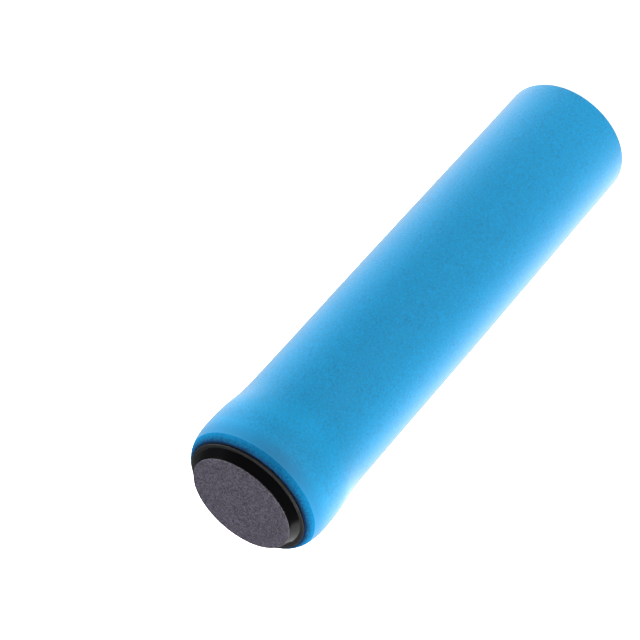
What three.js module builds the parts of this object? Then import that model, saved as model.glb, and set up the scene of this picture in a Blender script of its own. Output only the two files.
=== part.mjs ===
// Slip-on handlebar grip: a foam tube that flares at its outer end, closed there by a push-in plug.
// Millimetres, +Z up. The grip stands on its open inner end, with the bore's axis on Z and the plug on top.

import * as THREE from 'three';

// Foam sleeve. A depth is measured down from the sleeve's plug end.
const SLEEVE_LENGTH = 130;
const BORE_DIAMETER = 21; // at rest, before it is stretched over a 22.2 mm bar
const OPEN_END_DIAMETER = 31.4;
const OPEN_END_ROUND = 1.2;
const BODY_DIAMETER = 31.5;
const WAIST_DIAMETER = 31.2;
const WAIST_DEPTH = 21.3;
const FLARE_DIAMETER = 33.1;
const FLARE_DEPTH = 6.8;
const FLARE_TURN_DEPTH = 3.4; // where the flare starts to turn in towards the plug
const SKIN_EDGE_INSET = 0.75; // the skin's last edge lies this far inside the flare
const CUT_ROUND_WIDTH = 1.2; // the rounded cut end, from the skin's edge in to the flat
const CUT_ROUND_DEPTH = 1.5;

// End plug. Its head covers the sleeve's flat end, and its fins nearly fill the bore.
const LIP_SETBACK = 0.3; // the lip ends this far inside the sleeve's flat end
const LIP_WIDTH = 0.85;
const LIP_THICKNESS = 0.5;
const BEVEL_WIDTH = 1.25;
const BEVEL_HEIGHT = 2.2;
const EDGE_BREAK = 0.12;
const HEAD_WALL = 2;
const STEM_LENGTH = 22;
const STEM_WALL = 2;
const STEM_TIP_CHAMFER = 1;
const FIN_CLEARANCE = 0.3; // all round, between a fin's tip and the bore
const FIN_REACH = 3.2;
const FIN_ROOT_THICKNESS = 1.2;
const FIN_TIP_THICKNESS = 0.6;
const FIN_RAKE = 1; // a fin's tip stands this much nearer the head than its root
const FIN_PITCH = 5.5;
const FIN_LEAD = 3.5; // from the stem's tip to the first fin

// Fineness of the turned surfaces.
const TURN_SEGMENTS = 64;
const CURVE_STEPS = 5;

const boreRadius = BORE_DIAMETER / 2;
const flareRadius = FLARE_DIAMETER / 2;
const skinEdgeRadius = flareRadius - SKIN_EDGE_INSET;
const endFlatRadius = skinEdgeRadius - CUT_ROUND_WIDTH;

function foam() {
  return new THREE.MeshStandardMaterial({ color: 0x2b93cf, roughness: 0.8, metalness: 0 });
}

function blackPlastic() {
  return new THREE.MeshStandardMaterial({ color: 0x1c1b1f, roughness: 0.5, metalness: 0 });
}

// Turns a profile of (radius, height) points about the Z axis.
function turned(name, profile, material) {
  const geometry = new THREE.LatheGeometry(profile.getPoints(CURVE_STEPS), TURN_SEGMENTS);
  geometry.rotateX(Math.PI / 2);
  const mesh = new THREE.Mesh(geometry, material);
  mesh.name = name;
  return mesh;
}

// Carries the profile on to a new radius and height, running along the axis where it starts and where it ends.
function easeTo(profile, radius, height) {
  const from = profile.currentPoint;
  const middle = (from.y + height) / 2;
  profile.bezierCurveTo(from.x, middle, radius, middle, radius, height);
}

// The tube: up its outside from the open end, in over the cut end, and back down the bore.
function foamSleeve() {
  const openEndRadius = OPEN_END_DIAMETER / 2;
  const waistHeight = SLEEVE_LENGTH - WAIST_DEPTH;
  const bodyHeight = (OPEN_END_ROUND + waistHeight) / 2;
  const skinEdgeHeight = SLEEVE_LENGTH - CUT_ROUND_DEPTH;
  const profile = new THREE.Path();
  profile.moveTo(boreRadius, 0);
  profile.lineTo(openEndRadius - OPEN_END_ROUND, 0);
  profile.absarc(openEndRadius - OPEN_END_ROUND, OPEN_END_ROUND, OPEN_END_ROUND, -Math.PI / 2, 0);
  easeTo(profile, BODY_DIAMETER / 2, bodyHeight);
  easeTo(profile, WAIST_DIAMETER / 2, waistHeight);
  easeTo(profile, flareRadius, SLEEVE_LENGTH - FLARE_DEPTH);
  profile.quadraticCurveTo(flareRadius, SLEEVE_LENGTH - FLARE_TURN_DEPTH, skinEdgeRadius, skinEdgeHeight);
  profile.quadraticCurveTo(skinEdgeRadius - CUT_ROUND_WIDTH / 2, SLEEVE_LENGTH, endFlatRadius, SLEEVE_LENGTH);
  profile.lineTo(boreRadius, SLEEVE_LENGTH);
  profile.lineTo(boreRadius, 0);
  return turned('foam_sleeve', profile, foam());
}

// The fins' depths below the head, from the stem's tip up, as many as the stem has room for.
function finDepths() {
  const depths = [];
  for (let depth = STEM_LENGTH - FIN_LEAD; depth > FIN_PITCH; depth -= FIN_PITCH) {
    depths.push(depth);
  }
  return depths;
}

// One ring fin: out along its lower side to the raked tip, and back to the stem.
function addFin(profile, stemRadius, height) {
  const tipRadius = stemRadius + FIN_REACH;
  profile.lineTo(stemRadius, height - FIN_ROOT_THICKNESS / 2);
  profile.lineTo(tipRadius, height + FIN_RAKE - FIN_TIP_THICKNESS / 2);
  profile.lineTo(tipRadius, height + FIN_RAKE + FIN_TIP_THICKNESS / 2);
  profile.lineTo(stemRadius, height + FIN_ROOT_THICKNESS / 2);
}

// The plug: out of its hollow stem at the tip, up past the fins, round the head and in over the face.
function endPlug() {
  const seat = SLEEVE_LENGTH;
  const tip = seat - STEM_LENGTH;
  const stemRadius = boreRadius - FIN_CLEARANCE - FIN_REACH;
  const hollowRadius = stemRadius - STEM_WALL;
  const lipRadius = endFlatRadius - LIP_SETBACK;
  const lipTop = seat + LIP_THICKNESS;
  const bevelRadius = lipRadius - LIP_WIDTH;
  const faceRadius = bevelRadius - BEVEL_WIDTH;
  const face = lipTop + BEVEL_HEIGHT;
  const hollowTop = face - HEAD_WALL;
  const profile = new THREE.Path();
  profile.moveTo(0, hollowTop);
  profile.lineTo(hollowRadius, hollowTop);
  profile.lineTo(hollowRadius, tip);
  profile.lineTo(stemRadius - STEM_TIP_CHAMFER, tip);
  profile.lineTo(stemRadius, tip + STEM_TIP_CHAMFER);
  for (const depth of finDepths()) {
    addFin(profile, stemRadius, seat - depth);
  }
  profile.lineTo(stemRadius, seat);
  profile.lineTo(lipRadius - EDGE_BREAK, seat);
  profile.lineTo(lipRadius, seat + EDGE_BREAK);
  profile.lineTo(lipRadius, lipTop - EDGE_BREAK);
  profile.lineTo(lipRadius - EDGE_BREAK, lipTop);
  profile.lineTo(bevelRadius, lipTop);
  profile.lineTo(faceRadius, face - EDGE_BREAK);
  profile.lineTo(faceRadius - EDGE_BREAK, face);
  profile.lineTo(0, face);
  return turned('end_plug', profile, blackPlastic());
}

const grip = new THREE.Group();
grip.name = 'handlebar_grip';
grip.add(foamSleeve(), endPlug());

export default grip;
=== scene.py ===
# A slip-on bicycle handlebar grip, standing on its open end: a blue silicone foam sleeve, with a black plug
# pushed into its flared outer end. Metres, +Z up, with the bore's axis on Z.

import math

import bpy
from mathutils import Matrix, Vector
from mathutils.geometry import interpolate_bezier


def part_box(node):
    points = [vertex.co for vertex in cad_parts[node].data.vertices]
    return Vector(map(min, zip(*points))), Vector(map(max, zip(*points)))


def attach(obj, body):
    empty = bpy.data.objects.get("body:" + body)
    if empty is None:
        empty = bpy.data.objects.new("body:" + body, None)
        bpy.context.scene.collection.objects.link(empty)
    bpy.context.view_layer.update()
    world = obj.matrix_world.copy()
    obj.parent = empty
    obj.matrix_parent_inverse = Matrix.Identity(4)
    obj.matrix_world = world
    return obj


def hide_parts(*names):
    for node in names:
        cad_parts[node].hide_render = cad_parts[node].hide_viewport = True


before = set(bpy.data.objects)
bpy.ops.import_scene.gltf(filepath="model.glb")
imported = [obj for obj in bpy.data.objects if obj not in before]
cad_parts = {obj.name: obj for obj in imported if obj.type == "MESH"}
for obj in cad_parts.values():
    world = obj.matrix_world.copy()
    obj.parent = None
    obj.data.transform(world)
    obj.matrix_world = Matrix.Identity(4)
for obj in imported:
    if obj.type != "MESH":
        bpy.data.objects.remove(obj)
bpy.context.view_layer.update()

# The camera stands well back with a long lens, so the sleeve hardly tapers with distance. It looks down on
# the plug and is rolled over, so that the plug comes to the picture's lower left and the open end to its
# upper right.
MM = 0.001
camera_place = Vector((0, -418.21, 360.19)) * MM
camera_aim = Vector((13.72, -0.45, 85.86)) * MM
camera_roll = math.radians(137.356)
camera_data = bpy.data.cameras.new("long_lens")
camera_data.sensor_width = 36
camera_data.lens = 128.98
camera_data.clip_start = 10 * MM
camera = bpy.data.objects.new("camera", camera_data)
bpy.context.collection.objects.link(camera)
level_view = (camera_aim - camera_place).to_track_quat("-Z", "Y").to_matrix().to_4x4()
rolled_over = Matrix.Rotation(-camera_roll, 4, "Z")
camera.matrix_world = Matrix.Translation(camera_place) @ level_view @ rolled_over
bpy.context.scene.camera = camera

# The foam sleeve is a thick tube of closed-cell silicone sponge, extruded with its bore and ground to shape
# on a mandrel: a barrel body, a waist, and a flare that turns in to a rounded cut end. It is stretched over
# the bar and holds by itself. It is turned here from one outline.
sleeve_low, sleeve_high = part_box("foam_sleeve")
sleeve_foot = sleeve_low.z
sleeve_top = sleeve_high.z
flare_radius = sleeve_high.x
bore_radius = 10.5 * MM
open_end_radius = 15.7 * MM
open_end_round = 1.2 * MM
body_radius = 15.75 * MM
waist_radius = 15.6 * MM
waist_height = sleeve_top - 21.3 * MM
flare_height = sleeve_top - 6.8 * MM
flare_turn_height = sleeve_top - 3.4 * MM
skin_edge_radius = flare_radius - 0.75 * MM
skin_edge_height = sleeve_top - 1.5 * MM
end_flat_radius = skin_edge_radius - 1.2 * MM
cut_turn_radius = (skin_edge_radius + end_flat_radius) / 2
body_height = (sleeve_foot + open_end_round + waist_height) / 2
pitted_flat = 0.5 * MM
hair = 0.02 * MM


def on_profile(radius, height):
    """A point of a profile, in the plane where the turning starts."""
    return Vector((radius, 0, height))


def curve(outline, handle_a, handle_b, end, steps):
    """Carries an outline on along one smooth curve."""
    outline += interpolate_bezier(outline[-1], handle_a, handle_b, end, steps + 1)[1:]


def ease(outline, radius, height, steps):
    """Carries an outline on to a new radius, running along the bore at both ends."""
    start = outline[-1]
    middle = (start.z + height) / 2
    handle_a = on_profile(start.x, middle)
    handle_b = on_profile(radius, middle)
    curve(outline, handle_a, handle_b, on_profile(radius, height), steps)


def straight(outline, radius, height, steps):
    """Carries an outline on along a straight line."""
    start = outline[-1]
    end = on_profile(radius, height)
    outline += [start.lerp(end, i / steps) for i in range(1, steps + 1)]


def corner(outline, turn, end, steps):
    """Carries an outline on round a corner at turn, as a parabola."""
    start = outline[-1]
    curve(outline, start.lerp(turn, 2 / 3), end.lerp(turn, 2 / 3), end, steps)


def turned(name, outline, turns):
    """Draws the outline point by point from one vertex, and spins it round the bore's axis."""
    bpy.ops.object.select_all(action="DESELECT")
    bpy.ops.mesh.primitive_plane_add(size=MM, location=outline[0])
    piece = bpy.context.object
    piece.name = name
    bpy.ops.object.transform_apply(location=True, rotation=True, scale=True)
    bpy.ops.object.mode_set(mode="EDIT")
    bpy.ops.mesh.select_all(action="SELECT")
    bpy.ops.mesh.merge(type="CENTER")
    for a, b in zip(outline, outline[1:]):
        bpy.ops.mesh.extrude_region_move(TRANSFORM_OT_translate={"value": b - a})
    bpy.ops.mesh.select_all(action="SELECT")
    bpy.ops.mesh.spin(steps=turns, angle=math.tau, center=(0, 0, 0), axis=(0, 0, 1))
    bpy.ops.mesh.select_all(action="SELECT")
    bpy.ops.mesh.remove_doubles(threshold=0.005 * MM)
    bpy.ops.mesh.normals_make_consistent(inside=False)
    bpy.ops.object.mode_set(mode="OBJECT")
    return piece


outline = [on_profile(bore_radius, sleeve_foot)]
straight(outline, open_end_radius - open_end_round, sleeve_foot, 5)
open_end_turned = on_profile(open_end_radius, sleeve_foot + open_end_round)
corner(outline, on_profile(open_end_radius, sleeve_foot), open_end_turned, 8)
ease(outline, body_radius, body_height, 14)
ease(outline, waist_radius, waist_height, 14)
ease(outline, flare_radius, flare_height, 14)
skin_edge = on_profile(skin_edge_radius, skin_edge_height)
corner(outline, on_profile(flare_radius, flare_turn_height), skin_edge, 10)
corner(outline, on_profile(cut_turn_radius, sleeve_top), on_profile(end_flat_radius, sleeve_top), 22)
straight(outline, end_flat_radius - pitted_flat, sleeve_top, 5)
straight(outline, bore_radius, sleeve_top, 3)
straight(outline, bore_radius, sleeve_foot, 6)
sleeve = turned("silicone_sleeve", outline, turns=768)
bpy.ops.object.shade_smooth_by_angle(angle=math.radians(20))

# Where the skin is cut away, the foam's small cells lie open. They are pits pressed into the mesh, from
# nothing at the skin's edge to their full depth on the rounded end.
pit_size = 0.42 * MM
pit_depth = 0.11 * MM
pit_fade = 0.5 * MM
pit_inner_radius = end_flat_radius - 0.4 * MM
pits = sleeve.vertex_groups.new(name="open_cells")
for vertex in sleeve.data.vertices:
    reach = math.hypot(vertex.co.x, vertex.co.y)
    if vertex.co.z > skin_edge_height and reach > pit_inner_radius:
        share = min(1, (skin_edge_radius - reach) / pit_fade)
        pits.add([vertex.index], share, "REPLACE")
cells = bpy.data.textures.new("open_cells", "CLOUDS")
cells.noise_scale = pit_size
cells.noise_depth = 2
bpy.ops.object.modifier_add(type="DISPLACE")
pressed = sleeve.modifiers[-1]
pressed.texture = cells
pressed.texture_coords = "LOCAL"
pressed.mid_level = 0
pressed.strength = -pit_depth
pressed.vertex_group = pits.name
bpy.ops.object.modifier_apply(modifier=pressed.name)


def new_material(name, base, roughness, specular):
    """A shader with its even values set on its own sockets. Returns the material, its nodes and links."""
    material = bpy.data.materials.new(name)
    material.use_nodes = True
    nodes = material.node_tree.nodes
    shader = nodes["Principled BSDF"]
    shader.inputs["Base Color"].default_value = (*base, 1)
    shader.inputs["Roughness"].default_value = roughness
    shader.inputs["Specular IOR Level"].default_value = specular
    return material, nodes, material.node_tree.links


def velvet(nodes, weight, roughness):
    """The pale bloom that a finely napped surface has where it is seen edge on."""
    shader = nodes["Principled BSDF"]
    shader.inputs["Sheen Weight"].default_value = weight
    shader.inputs["Sheen Roughness"].default_value = roughness


def colour_and_relief(nodes, links, tone, relief):
    """Gives the shader a colour and a relief that vary over the surface."""
    shader = nodes["Principled BSDF"]
    links.new(tone, shader.inputs["Base Color"])
    links.new(relief, shader.inputs["Normal"])


def noise(nodes, links, size, detail, roughness=0.5):
    """Noise on the piece's own coordinates, with grains of about that size."""
    place = nodes.new("ShaderNodeTexCoord")
    texture = nodes.new("ShaderNodeTexNoise")
    texture.inputs["Scale"].default_value = 1 / size
    texture.inputs["Detail"].default_value = detail
    texture.inputs["Roughness"].default_value = roughness
    links.new(place.outputs["Object"], texture.inputs["Vector"])
    return texture.outputs["Fac"]


def mapped(nodes, links, value, low, high):
    """Stretches the middle of a noise to the range from low to high."""
    range_node = nodes.new("ShaderNodeMapRange")
    range_node.inputs["From Min"].default_value = 0.3
    range_node.inputs["From Max"].default_value = 0.7
    range_node.inputs["To Min"].default_value = low
    range_node.inputs["To Max"].default_value = high
    links.new(value, range_node.inputs["Value"])
    return range_node.outputs["Result"]


def mixed(nodes, links, share, first, second):
    """Goes from the first colour or colour output to the second by share."""
    mix = nodes.new("ShaderNodeMix")
    mix.data_type = "RGBA"
    links.new(share, mix.inputs["Factor"])
    for socket, colour in (("A", first), ("B", second)):
        side = next(s for s in mix.inputs if s.name == socket and s.type == "RGBA")
        if isinstance(colour, tuple):
            side.default_value = (*colour, 1)
        else:
            links.new(colour, side)
    return next(s for s in mix.outputs if s.type == "RGBA")


def bump(nodes, links, height, depth):
    """Raises the surface by height times depth."""
    node = nodes.new("ShaderNodeBump")
    node.inputs["Strength"].default_value = 1
    node.inputs["Distance"].default_value = depth
    links.new(height, node.inputs["Height"])
    return node.outputs["Normal"]


def between(nodes, links, value, start, stop):
    """How far a value has come from start to stop, as a smooth share from 0 to 1."""
    range_node = nodes.new("ShaderNodeMapRange")
    range_node.interpolation_type = "SMOOTHSTEP"
    range_node.inputs["From Min"].default_value = start
    range_node.inputs["From Max"].default_value = stop
    links.new(value, range_node.inputs["Value"])
    return range_node.outputs["Result"]


def summed(nodes, links, a, b, times):
    """a plus b times a number."""
    node = nodes.new("ShaderNodeMath")
    node.operation = "MULTIPLY_ADD"
    links.new(b, node.inputs[0])
    node.inputs[1].default_value = times
    links.new(a, node.inputs[2])
    return node.outputs["Value"]


def height_up(nodes, links):
    """A point's height on the grip."""
    place = nodes.new("ShaderNodeTexCoord")
    apart = nodes.new("ShaderNodeSeparateXYZ")
    links.new(place.outputs["Object"], apart.inputs["Vector"])
    return apart.outputs["Z"]


def reach_out(nodes, links):
    """A point's distance from the bore's axis."""
    place = nodes.new("ShaderNodeTexCoord")
    flat = nodes.new("ShaderNodeVectorMath")
    flat.operation = "MULTIPLY"
    flat.inputs[1].default_value = (1, 1, 0)
    links.new(place.outputs["Object"], flat.inputs[0])
    length = nodes.new("ShaderNodeVectorMath")
    length.operation = "LENGTH"
    links.new(flat.outputs["Vector"], length.inputs[0])
    return length.outputs["Value"]


def foam_skin():
    """Ground foam: fine grain and faint mottle, with painted light paling the flare's hollow and painted
    shade darkening the turn to its cut edge.
    """
    grain_dark = (0.002, 0.240, 0.518)
    grain_pale = (0.002, 0.474, 0.938)
    mottle_tone = (0.002, 0.385, 0.750)
    painted_shade_tone = (0.001, 0.238, 0.505)
    material, nodes, links = new_material("foam_skin", (0.002, 0.360, 0.715), 0.65, 0.5)
    velvet(nodes, 1, 0.35)
    grain = noise(nodes, links, 0.42 * MM, 4, 0.65)
    mottle = noise(nodes, links, 4 * MM, 2)
    height = height_up(nodes, links)
    # Painted light: the hollow between the waist and the flare is made paler, offsetting the shade on its
    # downward-tilted slope.
    past_waist = between(nodes, links, height, waist_height + 2 * MM, waist_height + 8.5 * MM)
    at_flare = between(nodes, links, height, flare_height - 5 * MM, flare_height)
    hollow = summed(nodes, links, past_waist, at_flare, -1)
    grain_and_painted_light = summed(nodes, links, mapped(nodes, links, grain, 0, 1), hollow, 0.3)
    tone = mixed(nodes, links, grain_and_painted_light, grain_dark, grain_pale)
    tone = mixed(nodes, links, mapped(nodes, links, mottle, 0, 0.4), tone, mottle_tone)
    # Painted shade: the turn from the flare to the cut end faces up and is darkened towards the skin's
    # edge.
    painted_shade_share = between(nodes, links, height, flare_height + 1 * MM, skin_edge_height)
    tone = mixed(nodes, links, painted_shade_share, tone, painted_shade_tone)
    colour_and_relief(nodes, links, tone, bump(nodes, links, grain, 0.035 * MM))
    return material


def cut_foam():
    """Foam with its cells laid open, with painted shade making it almost black beside the plug and bluer
    out towards the skin.
    """
    plug_shade_tone = (0.001, 0.020, 0.064)
    outer_tone = (0.003, 0.208, 0.455)
    material, nodes, links = new_material("cut_foam", (0.001, 0.08, 0.22), 0.9, 0.1)
    open_cells = noise(nodes, links, 0.45 * MM, 3)
    ragged = mapped(nodes, links, open_cells, -1, 1)
    reach = summed(nodes, links, reach_out(nodes, links), ragged, 0.2 * MM)
    # Painted shade: the foam darkens towards the plug, standing in for the shade in the corner beside its
    # lip.
    out_of_plug_shade = between(nodes, links, reach, end_flat_radius - 0.08 * MM, skin_edge_radius + 0.3 * MM)
    tone = mixed(nodes, links, out_of_plug_shade, plug_shade_tone, outer_tone)
    colour_and_relief(nodes, links, tone, bump(nodes, links, open_cells, 0.1 * MM))
    return material


# The bore keeps its skin. Both ends are cut, the flared one as far out as the skin's edge.
sleeve.data.materials.append(foam_skin())
sleeve.data.materials.append(cut_foam())
for face in sleeve.data.polygons:
    outside = math.hypot(face.center.x, face.center.y) > bore_radius + hair
    is_cut = outside and not sleeve_foot + hair < face.center.z < skin_edge_height
    face.material_index = int(is_cut)
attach(sleeve, "root")
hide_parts("foam_sleeve")

# The end plug is one injection moulding in black plastic: a grained disc with a smooth steep bevel, a thin
# lip that sits on the cut foam, and a hollow stem with raked fins. It is pushed in by hand and held by the
# fins.
plug_low, plug_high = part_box("end_plug")
tip_height = plug_low.z
face_height = plug_high.z
lip_radius = plug_high.x
lip_top = sleeve_top + 0.5 * MM
bevel_radius = lip_radius - 0.85 * MM
face_radius = bevel_radius - 1.25 * MM
edge = 0.12 * MM
hollow_radius = 5 * MM
hollow_top = face_height - 2 * MM
stem_radius = 7 * MM
tip_chamfer = 1 * MM
fin_radius = stem_radius + 3.2 * MM
fin_root = 1.2 * MM
fin_tip = 0.6 * MM
fin_rake = 1 * MM
fin_depths = [18.5 * MM, 13 * MM, 7.5 * MM]

outline = [on_profile(0, hollow_top)]
straight(outline, hollow_radius, hollow_top, 3)
straight(outline, hollow_radius, tip_height, 6)
straight(outline, stem_radius - tip_chamfer, tip_height, 1)
straight(outline, stem_radius, tip_height + tip_chamfer, 1)
for depth in fin_depths:
    fin_height = sleeve_top - depth
    straight(outline, stem_radius, fin_height - fin_root / 2, 1)
    straight(outline, fin_radius, fin_height + fin_rake - fin_tip / 2, 2)
    straight(outline, fin_radius, fin_height + fin_rake + fin_tip / 2, 1)
    straight(outline, stem_radius, fin_height + fin_root / 2, 2)
straight(outline, stem_radius, sleeve_top, 1)
straight(outline, lip_radius - edge, sleeve_top, 4)
corner(outline, on_profile(lip_radius, sleeve_top), on_profile(lip_radius, sleeve_top + edge), 3)
straight(outline, lip_radius, lip_top - edge, 1)
corner(outline, on_profile(lip_radius, lip_top), on_profile(lip_radius - edge, lip_top), 3)
straight(outline, bevel_radius, lip_top, 2)
face_edge = on_profile(face_radius, face_height)
bevel_run = face_edge - on_profile(bevel_radius, lip_top)
bevel_end = face_edge - bevel_run.normalized() * edge
straight(outline, bevel_end.x, bevel_end.z, 4)
corner(outline, face_edge, on_profile(face_radius - edge, face_height), 4)
straight(outline, 0, face_height, 8)
plug = turned("push_in_plug", outline, turns=256)
bpy.ops.object.shade_smooth_by_angle(angle=math.radians(25))


def grained_black_plastic():
    """The disc's moulded grain, with grey sparks that lean to violet."""
    pit_tone = (0.002, 0.002, 0.004)
    spark_tone = (0.048, 0.042, 0.062)
    material, nodes, links = new_material("grained_black_plastic", (0.02, 0.017, 0.028), 0.5, 0.35)
    sparks = noise(nodes, links, 0.36 * MM, 3, 0.75)
    tone = mixed(nodes, links, mapped(nodes, links, sparks, -1, 2), pit_tone, spark_tone)
    colour_and_relief(nodes, links, tone, bump(nodes, links, sparks, 0.12 * MM))
    return material


smooth_black, nodes, links = new_material("smooth_black_plastic", (0.001, 0.001, 0.0012), 0.14, 0.35)
satin_black, nodes, links = new_material("satin_black_plastic", (0.002, 0.002, 0.0024), 0.55, 0.3)
for finish in (smooth_black, grained_black_plastic(), satin_black):
    plug.data.materials.append(finish)
bevel_finish, disc_finish, lip_finish = range(3)
for face in plug.data.polygons:
    if face.center.z > face_height - edge:
        face.material_index = disc_finish
    elif face.center.z < lip_top + hair:
        face.material_index = lip_finish
    else:
        face.material_index = bevel_finish
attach(plug, "root")
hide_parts("end_plug")

# The stage is one white sweep, a table that curves up into walls and closes overhead. Only the camera sees
# it. The light comes from two high keys, a wide box low in front, a dim card behind on the left, the glow
# of the table and a faint cool light all round.
table_height = -0.05 * MM
table_radius = 1600 * MM
wall_radius = 2600 * MM
wall_foot = 1000 * MM
wall_top = 1600 * MM
crown_height = 3000 * MM
sweep = [on_profile(0, table_height)]
straight(sweep, table_radius, table_height, 6)
corner(sweep, on_profile(wall_radius, 0), on_profile(wall_radius, wall_foot), 10)
straight(sweep, wall_radius, wall_top, 2)
corner(sweep, on_profile(wall_radius, crown_height), on_profile(0, crown_height), 14)
white_sweep = turned("white_sweep", sweep, turns=96)
bpy.ops.object.shade_smooth()
lit_white, nodes, links = new_material("lit_white", (0.8, 0.8, 0.8), 1, 0)
nodes["Principled BSDF"].inputs["Emission Color"].default_value = (1, 1, 1, 1)
nodes["Principled BSDF"].inputs["Emission Strength"].default_value = 1
white_sweep.data.materials.append(lit_white)
white_sweep.visible_diffuse = False
white_sweep.visible_glossy = False
white_sweep.visible_shadow = False


def softbox(name, azimuth, elevation, width, height, watts):
    """A soft light a metre from the grip's middle. Azimuth 0 is the camera's side, 90 is +X."""
    data = bpy.data.lights.new(name, "AREA")
    data.shape = "RECTANGLE"
    data.size = width
    data.size_y = height
    data.energy = watts
    light = bpy.data.objects.new(name, data)
    bpy.context.collection.objects.link(light)
    turn = math.radians(azimuth)
    rise = math.radians(elevation)
    away = Vector((math.sin(turn) * math.cos(rise), -math.cos(turn) * math.cos(rise), math.sin(rise)))
    middle = Vector((0, 0, sleeve_top / 2))
    facing = away.to_track_quat("Z", "Y").to_matrix().to_4x4()
    light.matrix_world = Matrix.Translation(middle + away) @ facing
    light.visible_camera = False


softbox("left_key", azimuth=-113, elevation=48, width=0.5, height=0.5, watts=20.5)
softbox("right_key", azimuth=110, elevation=38, width=0.5, height=0.5, watts=16.5)
softbox("front_box", azimuth=-10, elevation=3, width=1.5, height=0.45, watts=9)
softbox("low_card", azimuth=-128, elevation=0, width=1.4, height=0.45, watts=1.8)

glow_height = -0.03 * MM
glow_data = bpy.data.lights.new("table_glow", "AREA")
glow_data.shape = "DISK"
glow_data.size = 180 * MM
glow_data.energy = 0.028
table_glow = bpy.data.objects.new("table_glow", glow_data)
bpy.context.collection.objects.link(table_glow)
face_up = Matrix.Rotation(math.pi, 4, "X")
table_glow.matrix_world = Matrix.Translation((0, 0, glow_height)) @ face_up
table_glow.visible_camera = False

world = bpy.data.worlds.new("studio")
bpy.context.scene.world = world
world.use_nodes = True
world.node_tree.nodes["Background"].inputs["Color"].default_value = (0.9, 0.95, 1, 1)
world.node_tree.nodes["Background"].inputs["Strength"].default_value = 0.07
bpy.context.scene.view_settings.view_transform = "Standard"
bpy.context.scene.view_settings.look = "None"
